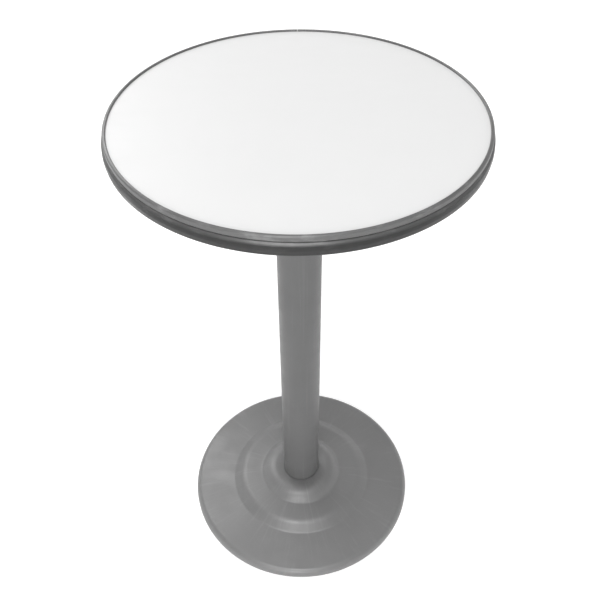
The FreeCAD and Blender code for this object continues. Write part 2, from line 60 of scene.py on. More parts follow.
def high(node):
    """A CAD node's highest corner, in millimetres."""
    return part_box(node)[1] / MM


# Top
LAMINATE_RADIUS = high("top_laminate").x
LAMINATE_TOP = high("top_laminate").z
CORE_TOP = high("top_core").z
CORE_BOTTOM = low("top_core").z
BACKING_BOTTOM = low("backing_laminate").z
SLOT_MIDDLE = (CORE_TOP + CORE_BOTTOM) / 2
SHEET_EDGE = 0.15
TRIM_OUTER = high("edge_trim").x
TRIM_TOP = LAMINATE_TOP + 3.5
TRIM_BOTTOM = low("edge_trim").z
TRIM_WALL = 1.8
BEAD_WIDTH = 6.0
GROOVE_DROP = 8.0
GROOVE_DEPTH = 1.8
TONGUE_DEPTH = 9.0
TONGUE_SLACK = 1.0
TONGUE_THICKNESS = 2.0
SLOT_CLEARANCE = 0.1
TRIM_SEAM = 0.5

# Column, tie rod and fasteners
COLUMN_RADIUS = high("column_tube").x
COLUMN_WALL = 2.0
ROD_RADIUS = 6.0
ROD_PITCH = 1.75
ROD_SHANK_RADIUS = 5.4
ROD_THREAD_LENGTH = 70.0
ROD_CHAMFER = 1.2
ROD_HOLE_RADIUS = 6.75
NUT_FLATS = 19.0
SOCKET_CLEARANCE = 0.15
THREAD_GAP = 0.06
THREAD_CREST = (0.0, 0.125)
THREAD_ROOT = (0.4375, 0.6875)
THREAD_SHARES = THREAD_CREST + THREAD_ROOT
THREAD_DEPTH_SHARE = 0.6
HEX_CHAMFER_DEGREES = 30.0
HEX_EDGE_DROP = 0.05

# Spider
ARMS = 4
FIRST_TURN = math.radians(45.0)
SPIDER_REACH = 150.0
ARM_ROOT = 26.0
ARM_TIP = 20.0
SPIDER_PLATE = 7.0
SPIDER_SKIRT_WALL = 5.5
SPIDER_SKIRT_DEPTH = 20.0
SPIDER_RIB = 3.0
SPIDER_RIB_DEPTH = 11.0
NUT_POCKET_RADIUS = 17.0
NUT_POCKET_DEPTH = 16.0
SCREW_REACH = 128.0
SCREW_OFFSET = 12.0
SCREW_RADIUS = 2.5
SCREW_HOLE_RADIUS = 2.9
SCREW_FIT = 0.02

# Base
BASE_RADIUS = high("base_casting").x
RIM_GAP = low("base_casting").z
RIM_TOP = 21.0
STEP_FOOT = (176.0, 31.0)
STEP_CREST = (152.0, 46.0)
HUB_FOOT = (102.0, 49.0)
HUB_CREST = (80.0, 68.0)
HUB_TOP = 66.0
RIM_ROUNDING = 15.0
STEP_FOOT_ROUNDING = 16.0
STEP_CREST_ROUNDING = 40.0
HUB_FOOT_ROUNDING = 14.0
HUB_CREST_ROUNDING = 45.0
STEP_INSET = 7.0
HUB_FOOT_INSET = 6.0
RIM_INSET = 22.0
RIM_FOOT_INSET = 10.0
COLUMN_FOOT = low("column_tube").z
BASE_WALL = 8.0
BOSS_RADIUS = 26.0
BOSS_DRAFT = 4.0
BOSS_BOTTOM = high("tie_rod_base_washer").z
RIB_HALF = 4.0
RIB_END_HEIGHT = 9.0

# Glides
GLIDES = (1, 2, 3, 4)
GLIDE_RADIUS = 4.0
GLIDE_PITCH = 1.25
GLIDE_CLEARANCE = 0.06
GLIDE_BOSS_RADIUS = 13.0
GLIDE_BOSS_BOTTOM = 9.0
GLIDE_HOLE_TOP = 19.5
HEX_FLATS = 13.0
HEX_BOTTOM = 5.6
HEX_TOP = 8.5
PIVOT_RADIUS = 3.0
PIVOT_FLANGE_RADIUS = 4.2
PIVOT_FLANGE_HEIGHT = 1.4

# How finely round things are divided
FINE = 288
MEDIUM = 96
SMALL = 48
SHARP_DEGREES = 32.0

# How far a cutting shape runs past what it cuts
OVERSHOOT = 1.0

# Studio: a floor that curves up into a wall, in millimetres, and places to light, in metres
COVE_RADIUS = 6500.0
COVE_BEND = 2600.0
COVE_HEIGHT = 4200.0
COVE_WALL = 3.0
FLOOR_GLOW = 0.28
WORLD_GREY = 0.45
LAMINATE_PLACE = (0, 0, 1.1)
COLUMN_PLACE = (0, 0, 0.45)
BASE_PLACE = (-0.1, 0, 0.05)


# ---- meshes

def at(value, turn):
    """A value that may depend on the angle about the axis."""
    return value(turn) if callable(value) else value


def rounded(corners, step_degrees=11.0):
    """Points of an outline through corners (radius, height, rounding), each rounded by a tangent arc."""
    points = []
    for i, (radius, height, rounding) in enumerate(corners):
        here = Vector((radius, height))
        if not rounding:
            points.append((radius, height))
            continue
        back = (Vector(corners[i - 1][:2]) - here).normalized()
        ahead = (Vector(corners[(i + 1) % len(corners)][:2]) - here).normalized()
        half = back.angle(ahead) / 2
        reach = rounding / math.tan(half)
        centre = here + (back + ahead).normalized() * (rounding / math.sin(half))
        start = here + back * reach - centre
        sweep = start.angle_signed(here + ahead * reach - centre)
        steps = max(2, round(abs(math.degrees(sweep)) / step_degrees))
        for k in range(steps + 1):
            turned = start.copy()
            turned.rotate(Matrix.Rotation(-sweep * k / steps, 2))
            points.append(tuple(centre + turned))
    return points


class Shape:
    """A mesh under construction, in millimetres, made of rings about a vertical axis."""

    def __init__(self, segments, x=0.0, y=0.0):
        self.bm = bmesh.new()
        self.segments = segments
        self.x = x
        self.y = y
        self.first = None
        self.last = None

    def spot(self, i, radius, height):
        turn = math.tau * i / self.segments
        place = (self.x + radius * math.cos(turn), self.y + radius * math.sin(turn), height)
        return self.bm.verts.new(place)

    def face(self, *corners):
        kept = list(dict.fromkeys(corners))
        if len(kept) > 2:
            self.bm.faces.new(kept)

    def join(self, lower, upper):
        """Faces between two rings of the same count."""
        for i in range(self.segments):
            k = (i + 1) % self.segments
            self.face(lower[i], lower[k], upper[k], upper[i])

    def follow(self, ring):
        """Adds a ring after the last one."""
        if self.last is None:
            self.first = ring
        else:
            self.join(self.last, ring)
        self.last = ring

    def ring(self, radius, height):
        """A ring whose radius and height may depend on the angle. A radius of 0 makes a pole."""
        if radius == 0:
            self.follow([self.spot(0, 0, height)] * self.segments)
            return
        turns = [math.tau * i / self.segments for i in range(self.segments)]
        self.follow([self.spot(i, at(radius, t), at(height, t)) for i, t in enumerate(turns)])

    def rings(self, outline):
        for radius, height in outline:
            self.ring(radius, height)

    def close(self):
        self.join(self.last, self.first)

    def thread(self, pitch, bottom, top, radius_at, ends):
        """A helical surface whose rows follow the thread. Returns its lowest and highest rings."""
        count = self.segments
        lowest = [self.spot(i, ends[0], bottom) for i in range(count)]
        highest = [self.spot(i, ends[1], top) for i in range(count)]
        start = math.floor(bottom / pitch) - 1
        turns = math.ceil(top / pitch) - start + 2
        columns = []
        for i in range(count):
            column = []
            for turn in range(turns):
                for share in THREAD_SHARES:
                    height = pitch * (start + turn + share + i / count)
                    if height <= bottom:
                        column.append(lowest[i])
                    elif height >= top:
                        column.append(highest[i])
                    else:
                        column.append(self.spot(i, radius_at(share, height), height))
            columns.append(column)
        for i in range(count):
            k = (i + 1) % count
            shift = 0 if k else len(THREAD_SHARES)
            beside = columns[k][shift:] + [highest[k]] * shift
            for j in range(len(columns[i]) - 1):
                self.face(columns[i][j], beside[j], beside[j + 1], columns[i][j + 1])
        return lowest, highest

    def follow_thread(self, pitch, bottom, top, radius_at, ends):
        """Adds a thread after the last ring, and carries on from its upper end."""
        lowest, highest = self.thread(pitch, bottom, top, radius_at, ends)
        self.follow(lowest)
        self.last = highest


def turned(outline, segments, x=0.0, y=0.0):
    """An outline turned about a vertical axis. One that starts and ends on the axis needs no closing."""
    shape = Shape(segments, x, y)
    shape.rings(outline)
    if outline[0][0] != 0 or outline[-1][0] != 0:
        shape.close()
    return shape.bm


def skinned(stacks):
    """A closed mesh over stacks of sections, with all first loops filled together, and all last ones."""
    bm = bmesh.new()
    ends = [[], []]
    for sections in stacks:
        rows = [[bm.verts.new(spot) for spot in section] for section in sections]
        count = len(rows[0])
        for before, after in zip(rows, rows[1:]):
            for i in range(count):
                k = (i + 1) % count
                bm.faces.new((before[i], before[k], after[k], after[i]))
        for edges, row in zip(ends, (rows[0], rows[-1])):
            edges += [bm.edges.get((row[i - 1], row[i])) for i in range(count)]
    for edges in ends:
        bmesh.ops.triangle_fill(bm, use_beauty=True, edges=edges)
    return bm


def lofted(sections):
    """A closed mesh through sections, each a closed loop of the same number of points."""
    return skinned([sections])


def swept(outlines, first_turn, sweep, steps, lean=0.0, middle=0.0):
    """Closed outlines carried round part of a turn, slanting by lean per unit of height, with filled ends."""
    stacks = []
    for outline in outlines:
        sections = []
        for k in range(steps + 1):
            section = []
            for radius, height in outline:
                turn = first_turn + sweep * k / steps + lean * (height - middle) / radius
                section.append((radius * math.cos(turn), radius * math.sin(turn), height))
            sections.append(section)
        stacks.append(sections)
    return skinned(stacks)


def gathered(parts):
    """Several meshes in one, not joined where they meet."""
    bm = bmesh.new()
    for part in parts:
        mesh = bpy.data.meshes.new("part")
        part.to_mesh(mesh)
        part.free()
        bm.from_mesh(mesh)
        bpy.data.meshes.remove(mesh)
    return bm


def around(bm, count, first_turn=0.0):
    """Copies of a mesh, evenly turned about the column's axis, in one mesh."""
    copies = []
    for i in range(count):
        copy = bm.copy()
        turn = Matrix.Rotation(first_turn + math.tau * i / count, 3, "Z")
        bmesh.ops.rotate(copy, verts=copy.verts, matrix=turn)
        copies.append(copy)
    bm.free()
    return gathered(copies)


def plain_object(name, bm):
    """An object from a mesh, which is freed."""
    bmesh.ops.recalc_face_normals(bm, faces=bm.faces)
    mesh = bpy.data.meshes.new(name)
    bm.to_mesh(mesh)
    bm.free()
    made = bpy.data.objects.new(name, mesh)
    bpy.context.scene.collection.objects.link(made)
    return made


def combined(bm, steps):
    """A mesh after boolean steps, each ("UNION" or "DIFFERENCE", mesh)."""
    target = plain_object("target", bm)
    tools = []
    for operation, other in steps:
        tool = plain_object("tool", other)
        cut = target.modifiers.new(operation, "BOOLEAN")
        cut.operation = operation
        cut.solver = "MANIFOLD"
        cut.object = tool
        tools.append(tool)
    bpy.context.view_layer.update()
    shown = target.evaluated_get(bpy.context.evaluated_depsgraph_get())
    result = bmesh.new()
    result.from_mesh(shown.to_mesh())
    shown.to_mesh_clear()
    for leftover in [target] + tools:
        mesh = leftover.data
        bpy.data.objects.remove(leftover)
        bpy.data.meshes.remove(mesh)
    return result


def finished(name, bm, material):
    """An object in metres with its material and smooth shading, sharp where faces turn by SHARP_DEGREES."""
    bmesh.ops.scale(bm, vec=(MM, MM, MM), verts=bm.verts)
    made = plain_object(name, bm)
    made.data.materials.append(material)
    made.data.polygons.foreach_set("use_smooth", [True] * len(made.data.polygons))
    made.data.set_sharp_from_angle(angle=math.radians(SHARP_DEGREES))
    return made


def piece(name, bm, node, material, body="table"):
    """A finished piece that stands for a CAD node and rides on its body."""
    made = finished(name, bm, material)
    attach(made, body)
    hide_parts(node)


def hexagon(flats):
    """A hexagon's radius at an angle, with a corner on the X axis."""
    side = math.tau / 6
    return lambda turn: flats / 2 / math.cos(turn % side - side / 2)


def hexagon_chamfer(flats):
    """How far a nut's chamfer has dropped at the hexagon's edge, at an angle."""
    radius = hexagon(flats)
    slope = math.tan(math.radians(HEX_CHAMFER_DEGREES))
    return lambda turn: (radius(turn) - flats / 2) * slope + HEX_EDGE_DROP


# ---- the top

def sheet(radius, bottom, top):
    """A thin laminate disc with softened edges and enough rings to lie smoothly."""
    shares = (0.25, 0.5, 0.75, 0.95)
    outline = [(0, bottom)]
    outline += [(radius * share, bottom) for share in shares]
    outline += rounded([(radius, bottom, 0), (radius, top, SHEET_EDGE), (0, top, 0)])[:-1]
    outline += [(radius * share, top) for share in reversed(shares)]
    outline += [(0, top)]
    return turned(outline, FINE)


def screw_places():
    """The spider's screws, one each side of every arm's rib."""
    places = []
    for i in range(ARMS):
        turn = FIRST_TURN + math.tau * i / ARMS
        for side in (-SCREW_OFFSET, SCREW_OFFSET):
            x = SCREW_REACH * math.cos(turn) - side * math.sin(turn)
            y = SCREW_REACH * math.sin(turn) + side * math.cos(turn)
            places.append((x, y))
    return places


def drill(radius, bottom, top):
    """Eight cylinders at the screws' places, to cut with."""
    outline = [(0, bottom), (radius, bottom), (radius, top), (0, top)]
    return gathered([turned(outline, SMALL, x, y) for x, y in screw_places()])


def core_board():
    """The particle board with the slot for the trim's tongue and the screws' holes."""
    half = TONGUE_THICKNESS / 2 + SLOT_CLEARANCE
    slot_floor = LAMINATE_RADIUS - TONGUE_DEPTH - TONGUE_SLACK
    outline = [
        (0, CORE_BOTTOM), (LAMINATE_RADIUS / 2, CORE_BOTTOM), (LAMINATE_RADIUS, CORE_BOTTOM),
        (LAMINATE_RADIUS, SLOT_MIDDLE - half), (slot_floor, SLOT_MIDDLE - half),
        (slot_floor, SLOT_MIDDLE + half), (LAMINATE_RADIUS, SLOT_MIDDLE + half),
        (LAMINATE_RADIUS, CORE_TOP), (LAMINATE_RADIUS / 2, CORE_TOP), (0, CORE_TOP),
    ]
    holes = drill(SCREW_RADIUS + SCREW_FIT, CORE_BOTTOM - OVERSHOOT, high("spider_screws").z + 1.0)
    return combined(turned(outline, FINE), [("DIFFERENCE", holes)])


def backing_sheet():
    holes = drill(SCREW_RADIUS + SCREW_FIT, BACKING_BOTTOM - OVERSHOOT, CORE_BOTTOM + OVERSHOOT)
    return combined(sheet(LAMINATE_RADIUS, BACKING_BOTTOM, CORE_BOTTOM), [("DIFFERENCE", holes)])


def trim_outline():
    """The trim's outer section, with its barbed tongue: bead, groove, and the wider rounded band."""
    inner = LAMINATE_RADIUS
    outer = TRIM_OUTER
    groove = LAMINATE_TOP - GROOVE_DROP
    bead = inner + BEAD_WIDTH
    neck = bead - GROOVE_DEPTH
    band = (groove + TRIM_BOTTOM) / 2
    tip = inner - TONGUE_DEPTH
    half = TONGUE_THICKNESS / 2
    barb = half + SLOT_CLEARANCE - 0.05
    tongue = [
        (inner, half, 0), (inner - 3.0, half, 0), (inner - 3.0, barb, 0), (inner - 5.0, half - 0.2, 0),
        (inner - 6.0, half - 0.2, 0), (inner - 6.0, barb, 0), (tip, half - 0.5, 0),
    ]
    upper = [(radius, SLOT_MIDDLE + rise, rounding) for radius, rise, rounding in reversed(tongue)]
    lower = [(radius, SLOT_MIDDLE - rise, rounding) for radius, rise, rounding in tongue]
    return rounded([
        (inner, TRIM_TOP - 1.2, 0), (inner + 1.4, TRIM_TOP, 0.8), (bead, TRIM_TOP - 1.4, 2.6),
        (bead, groove + 1.8, 1.6), (neck, groove + 0.6, 0.4), (neck, groove - 0.8, 0.4),
        (outer - 0.8, groove - 3.4, 3.0), (outer, band, 8.0), (outer - 1.4, TRIM_BOTTOM + 2.4, 3.0),
        (outer - 5.4, TRIM_BOTTOM, 2.0), (inner, TRIM_BOTTOM, 0.4), *lower, *upper,
    ])


def trim_channels():
    """The hollow channels above and below the tongue."""
    outer = TRIM_OUTER
    wall = LAMINATE_RADIUS + TRIM_WALL
    side = LAMINATE_RADIUS + BEAD_WIDTH - GROOVE_DEPTH - 1.2
    floor = TRIM_BOTTOM + 2.2
    upper = [
        (wall, SLOT_MIDDLE + 2.4, 0.5), (side, SLOT_MIDDLE + 2.4, 0.5),
        (side, TRIM_TOP - 4.5, 0.5), (wall, TRIM_TOP - 4.0, 0.5),
    ]
    lower = [
        (wall, floor, 0.5), (outer - 5.4, floor, 0.5), (outer - 3.2, floor + 2.2, 0.5),
        (outer - 2.2, SLOT_MIDDLE - 4.4, 0.5), (wall, SLOT_MIDDLE - 2.4, 0.5),
    ]
    return [rounded(upper, step_degrees=30.0), rounded(lower, step_degrees=30.0)]


def edge_trim():
    """The bent strip, its two ends meeting at the back."""
    half_gap = TRIM_SEAM / 2 / TRIM_OUTER
    outlines = [trim_outline()] + trim_channels()
    return swept(outlines, math.pi / 2 + half_gap, math.tau - 2 * half_gap, FINE)


# ---- under the top

def flared_section(station, half, top, bottom, fillet, sunk):
    """A rib's section across its run: rounded below, and flaring into the surface above it."""
    depth = top - bottom
    flare = min(fillet, depth * 0.45)
    nose = min(half * 0.7, depth * 0.45)
    steps = 5
    angles = [math.radians(90.0 * k / steps) for k in range(steps + 1)]
    right = [(half + flare - flare * math.sin(a), top - flare + flare * math.cos(a)) for a in angles]
    right += [(half - nose + nose * math.cos(a), bottom + nose - nose * math.sin(a)) for a in angles]
    left = [(-across, height) for across, height in reversed(right)]
    cap = [(-half - flare, top + sunk), (half + flare, top + sunk)]
    return [(station, across, height) for across, height in right + left + cap]


def spider_arm():
    """One arm along +X: a tapered plate with a round end and softened lower edges."""
    bottom = BACKING_BOTTOM - SPIDER_PLATE
    straight = SPIDER_REACH - ARM_TIP
    tapers = 8
    bends = 12
    slope = ARM_TIP - ARM_ROOT
    stations = [(straight * k / tapers, ARM_ROOT + slope * k / tapers) for k in range(tapers + 1)]
    for k in range(1, bends + 1):
        a = math.radians(88.0 * k / bends)
        stations.append((straight + ARM_TIP * math.sin(a), ARM_TIP * math.cos(a)))
    sections = []
    for x, half in stations:
        soft = min(1.6, half * 0.5)
        loop = rounded([
            (-half, bottom, soft), (half, bottom, soft),
            (half, BACKING_BOTTOM, 0), (-half, BACKING_BOTTOM, 0),
        ], step_degrees=18.0)
        sections.append([(x, across, height) for across, height in loop])
    return lofted(sections)


def spider_rib():
    """The rib under an arm, deepest at the hub."""
    plate = BACKING_BOTTOM - SPIDER_PLATE
    start = COLUMN_RADIUS + SPIDER_SKIRT_WALL / 2
    end = SPIDER_REACH - 8.0
    least = 0.6
    steps = 14
    sections = []
    for k in range(steps + 1):
        share = k / steps
        depth = least + (SPIDER_RIB_DEPTH - least) * (1 - share) ** 0.8
        station = start + (end - start) * share
        sections.append(flared_section(station, SPIDER_RIB, plate, plate - depth, 3.0, 0.8))
    return lofted(sections)


def spider():
    """The cross-shaped casting: a hub that caps the column, and four ribbed arms."""
    socket = COLUMN_RADIUS + SOCKET_CLEARANCE
    skirt = socket + SPIDER_SKIRT_WALL
    skirt_bottom = BACKING_BOTTOM - SPIDER_SKIRT_DEPTH
    column_top = BACKING_BOTTOM - SPIDER_PLATE
    plug = COLUMN_RADIUS - COLUMN_WALL - SOCKET_CLEARANCE
    plug_bottom = low("top_spider").z
    pocket_floor = BACKING_BOTTOM - NUT_POCKET_DEPTH
    hub = turned(rounded([
        (ROD_HOLE_RADIUS, plug_bottom, 0.4), (plug, plug_bottom, 2.0), (plug, column_top, 0.3),
        (socket, column_top, 0.3), (socket, skirt_bottom, 0.6), (skirt, skirt_bottom, 2.0),
        (skirt, column_top - 3.0, 2.0), (skirt + 3.0, column_top, 0), (skirt + 3.0, BACKING_BOTTOM, 0),
        (NUT_POCKET_RADIUS, BACKING_BOTTOM, 0.5), (NUT_POCKET_RADIUS, pocket_floor, 0.6),
        (ROD_HOLE_RADIUS, pocket_floor, 0.3),
    ]), MEDIUM)
    clear_radius = skirt - 1.0
    clear_bottom = plug_bottom - 5.0
    clear_top = BACKING_BOTTOM + 5.0
    clear = turned([
        (0, clear_bottom), (clear_radius, clear_bottom), (clear_radius, clear_top), (0, clear_top),
    ], MEDIUM)
    arms = around(spider_arm(), ARMS, FIRST_TURN)
    ribs = around(spider_rib(), ARMS, FIRST_TURN)
    ribbed = combined(arms, [("UNION", ribs), ("DIFFERENCE", clear)])
    holes = drill(SCREW_HOLE_RADIUS, column_top - 15.0, BACKING_BOTTOM + OVERSHOOT)
    return combined(hub, [("UNION", ribbed), ("DIFFERENCE", holes)])


def oblong(half_length, half_width, height):
    """A level rectangle about the vertical axis."""
    return [
        (-half_length, -half_width, height), (half_length, -half_width, height),
        (half_length, half_width, height), (-half_length, half_width, height),
    ]


def wood_screw(bottom, head_top, tip, recess_turn):
    """A pan-head screw, head down, with a cross recess and a tapering thread."""
    head = 5.0
    core = 1.7
    pitch = 2.4
    taper = 6.0
    shape = Shape(SMALL)
    shape.ring(0, bottom)
    shape.rings(rounded([(0.5, bottom, 0), (head, bottom, 2.2), (head, head_top, 0.2), (core, head_top, 0)]))

    def radius_at(share, height):
        full = SCREW_RADIUS - SCREW_FIT if share in THREAD_CREST else core
        near = (tip - height) / taper
        return max(0.25, full * min(1.0, near))

    shape.follow_thread(pitch, head_top + 0.6, tip - 0.5, radius_at, (core, 0.2))
    shape.ring(0, tip)
    cuts = []
    for quarter in (0, 1):
        blade = lofted([
            oblong(2.6, 0.6, bottom - 0.5), oblong(2.3, 0.5, bottom + 0.4), oblong(0.8, 0.4, bottom + 2.0),
        ])
        bmesh.ops.rotate(blade, verts=blade.verts, matrix=Matrix.Rotation(quarter * math.pi / 2, 3, "Z"))
        cuts.append(("DIFFERENCE", blade))
    made = combined(shape.bm, cuts)
    bmesh.ops.rotate(made, verts=made.verts, matrix=Matrix.Rotation(recess_turn, 3, "Z"))
    return made


def spider_screws():
    """Eight screws, each driven home at its own angle."""
    draw = random.Random(7)
    bottom = low("spider_screws").z
    tip = high("spider_screws").z
    plate = BACKING_BOTTOM - SPIDER_PLATE
    screws = []
    for x, y in screw_places():
        screw = wood_screw(bottom, plate, tip, draw.uniform(0, math.pi / 2))
        bmesh.ops.translate(screw, vec=(x, y, 0), verts=screw.verts)
        screws.append(screw)
    return gathered(screws)


# ---- column and tie rod

def column():
    """The tube, its sawn ends lightly deburred."""
    outer = COLUMN_RADIUS
    inner = COLUMN_RADIUS - COLUMN_WALL
    bottom = COLUMN_FOOT
    top = high("column_tube").z
    levels = 24
    outside = 0.4
    inside = 0.3
    outline = [(inner, top - inside), (inner + inside, top), (outer - outside, top), (outer, top - outside)]
    outline += [(outer, top + (bottom - top) * k / levels) for k in range(1, levels)]
    outline += [(outer, bottom + outside), (outer - outside, bottom)]
    outline += [(inner + inside, bottom), (inner, bottom + inside)]
    outline += [(inner, bottom + (top - bottom) * k / levels) for k in range(1, levels)]
    return turned(outline, MEDIUM)


def metric_radius(radius, pitch, gap=0.0):
    """A thread's radius by its share of the pitch, for thread()."""
    root = radius - pitch * THREAD_DEPTH_SHARE
    return lambda share: (radius if share in THREAD_CREST else root) + gap


def tie_rod():
    """The rod with a rolled thread at each end and a plain shank between."""
    bottom = low("tie_rod").z
    top = high("tie_rod").z
    thread = metric_radius(ROD_RADIUS - THREAD_GAP / 2, ROD_PITCH)
    end = ROD_RADIUS - ROD_CHAMFER
    shape = Shape(SMALL)
    shape.ring(0, bottom)

    def radius_at(share, height):
        return min(thread(share), end + min(height - bottom, top - height))

    tip = end - 0.2
    runout = ROD_SHANK_RADIUS - 0.4
    start = bottom + ROD_THREAD_LENGTH + 1.0
    stop = top - ROD_THREAD_LENGTH - 1.0
    levels = 12
    shape.follow_thread(ROD_PITCH, bottom, bottom + ROD_THREAD_LENGTH, radius_at, (tip, runout))
    for k in range(levels + 1):
        shape.ring(ROD_SHANK_RADIUS, start + (stop - start) * k / levels)
    shape.follow_thread(ROD_PITCH, top - ROD_THREAD_LENGTH, top, radius_at, (runout, tip))
    shape.ring(0, top)
    return shape.bm


def rod_nut(node):
    """A hexagon nut with both faces chamfered and a threaded bore that runs with the rod's thread."""
    bottom = low(node).z
    top = high(node).z
    radius = hexagon(NUT_FLATS)
    drop = hexagon_chamfer(NUT_FLATS)
    face = NUT_FLATS / 2 - 0.25
    mouth = ROD_RADIUS + 0.3
    thread = metric_radius(ROD_RADIUS - THREAD_GAP / 2, ROD_PITCH, THREAD_GAP)

    def bore(share, height):
        nearest = min(height - bottom, top - height)
        return max(thread(share), mouth - nearest)

    shape = Shape(SMALL)
    shape.ring(mouth + 0.3, bottom)
    shape.ring(face, bottom)
    shape.ring(radius, lambda turn: bottom + drop(turn))
    shape.ring(radius, (bottom + top) / 2)
    shape.ring(radius, lambda turn: top - drop(turn))
    shape.ring(face, top)
    shape.ring(mouth + 0.3, top)
    lowest, highest = shape.thread(ROD_PITCH, bottom + 0.3, top - 0.3, bore, (mouth, mouth))
    shape.join(shape.last, highest)
    shape.join(lowest, shape.first)
    return shape.bm


def flat_washer(node):
    """A punched washer: rounded on the die side, square on the other."""
    outer = high(node).x
    bottom = low(node).z
    top = high(node).z
    thick = top - bottom
    return turned(rounded([
        (ROD_HOLE_RADIUS, bottom, 0.15), (outer, bottom, 0.15), (outer, top, thick * 0.18),
        (ROD_HOLE_RADIUS, top, thick * 0.12),
    ], step_degrees=20.0), MEDIUM)


def lock_washer():
    """The split spring washer, cut on a slant."""
    bottom = low("tie_rod_lock_washer").z
    top = high("tie_rod_lock_washer").z
    outer = high("tie_rod_lock_washer").x
    inner = ROD_RADIUS + 0.2
    gap = 2.3 / ((inner + outer) / 2)
    outline = rounded([
        (inner, bottom, 0.3), (outer, bottom, 0.3), (outer, top, 0.3), (inner, top, 0.3),
    ], step_degrees=30.0)
    slant = math.tan(math.radians(30.0))
    return swept([outline], gap / 2, math.tau - gap, MEDIUM, slant, (bottom + top) / 2)


# ---- the base

def underside():
    """The casting's lower corners (radius, height, rounding), from the rod's boss out to the rim."""
    ceiling = COLUMN_FOOT - BASE_WALL
    return [
        (BOSS_RADIUS, BOSS_BOTTOM, 2.0), (BOSS_RADIUS + BOSS_DRAFT, ceiling, 5.0),
        (HUB_CREST[0] - BASE_WALL, ceiling, 5.0),
        (HUB_FOOT[0] - HUB_FOOT_INSET, HUB_FOOT[1] - BASE_WALL, 5.0),
        (STEP_CREST[0] - STEP_INSET, STEP_CREST[1] - BASE_WALL, 4.0),
        (STEP_FOOT[0] - STEP_INSET, STEP_FOOT[1] - BASE_WALL, 4.0),
        (BASE_RADIUS - RIM_INSET, RIM_TOP - BASE_WALL, 5.0), (BASE_RADIUS - RIM_FOOT_INSET, RIM_GAP, 1.0),
    ]


def base_outline():
    """The casting's whole section: rim, step, hub, the column's seat, the rod's boss and the underside."""
    socket = COLUMN_RADIUS + SOCKET_CLEARANCE
    return rounded([
        (BASE_RADIUS - 1.0, RIM_GAP, 0.8), (BASE_RADIUS, RIM_GAP + 2.0, 1.2),
        (BASE_RADIUS, RIM_TOP, RIM_ROUNDING),
        (*STEP_FOOT, STEP_FOOT_ROUNDING), (*STEP_CREST, STEP_CREST_ROUNDING),
        (*HUB_FOOT, HUB_FOOT_ROUNDING), (*HUB_CREST, HUB_CREST_ROUNDING), (socket, HUB_TOP, 0.6),
        (socket, COLUMN_FOOT, 0), (ROD_HOLE_RADIUS, COLUMN_FOOT, 0.4), (ROD_HOLE_RADIUS, BOSS_BOTTOM, 0.4),
        *underside(),
    ], step_degrees=4.0)


def ceiling_at(radius):
    """The height of the casting's underside at a radius outside the rod's boss."""
    line = rounded(underside(), step_degrees=8.0)
    line = [spot for spot in line if spot[0] > BOSS_RADIUS + 3.0]
    for (r0, z0), (r1, z1) in zip(line, line[1:]):
        if r0 <= radius <= r1 and r1 > r0:
            return z0 + (z1 - z0) * (radius - r0) / (r1 - r0)
    return line[0][1] if radius < line[0][0] else line[-1][1]


def base_rib():
    """One stiffening rib under the casting, along +X, flaring into the shell."""
    start = BOSS_RADIUS - 4.0
    end = BASE_RADIUS - 14.0
    first_bottom = BOSS_BOTTOM + 3.0
    slope = (RIB_END_HEIGHT - first_bottom) / (BASE_RADIUS - RIM_INSET - start)
    sections = []
    count = 60
    for k in range(count + 1):
        radius = start + (end - start) * k / count
        top = ceiling_at(radius) - 0.05
        bottom = min(first_bottom + slope * (radius - start), top - 1.0)
        sections.append(flared_section(radius, RIB_HALF, top, bottom, 6.0, 2.5))
    return lofted(sections)


def glide_places():
    """Each glide's axis, from its pad's box."""
    places = []
    for n in GLIDES:
        middle = (low(f"glide_pad_{n}") + high(f"glide_pad_{n}")) / 2
        places.append((middle.x, middle.y))
    return places


def glide_boss(x, y):
    """The boss that a glide screws into, flaring into the shell."""
    ceiling = ceiling_at(math.hypot(x, y))
    outline = rounded([
        (0, GLIDE_BOSS_BOTTOM, 0), (GLIDE_BOSS_RADIUS, GLIDE_BOSS_BOTTOM, 1.2),
        (GLIDE_BOSS_RADIUS + 1.0, ceiling - 1.0, 3.0), (GLIDE_BOSS_RADIUS + 4.5, ceiling + 0.3, 0),
        (GLIDE_BOSS_RADIUS + 4.0, ceiling + 2.0, 0), (0, ceiling + 2.0, 0),
    ])
    return turned(outline, MEDIUM, x, y)


def glide_hole(x, y):
    """A drilled and countersunk hole, to cut with."""
    outline = [
        (0, GLIDE_BOSS_BOTTOM - OVERSHOOT), (GLIDE_RADIUS + 1.8, GLIDE_BOSS_BOTTOM - OVERSHOOT),
        (GLIDE_RADIUS, GLIDE_BOSS_BOTTOM + 0.8), (GLIDE_RADIUS, GLIDE_HOLE_TOP), (0, GLIDE_HOLE_TOP + 1.5),
    ]
    return turned(outline, SMALL, x, y)


def base():
    """The whole casting."""
    bosses = gathered([glide_boss(x, y) for x, y in glide_places()])
    holes = gathered([glide_hole(x, y) for x, y in glide_places()])
    ribs = around(base_rib(), len(GLIDES), FIRST_TURN)
    return combined(turned(base_outline(), FINE), [("UNION", ribs), ("UNION", bosses), ("DIFFERENCE", holes)])


# ---- the glides

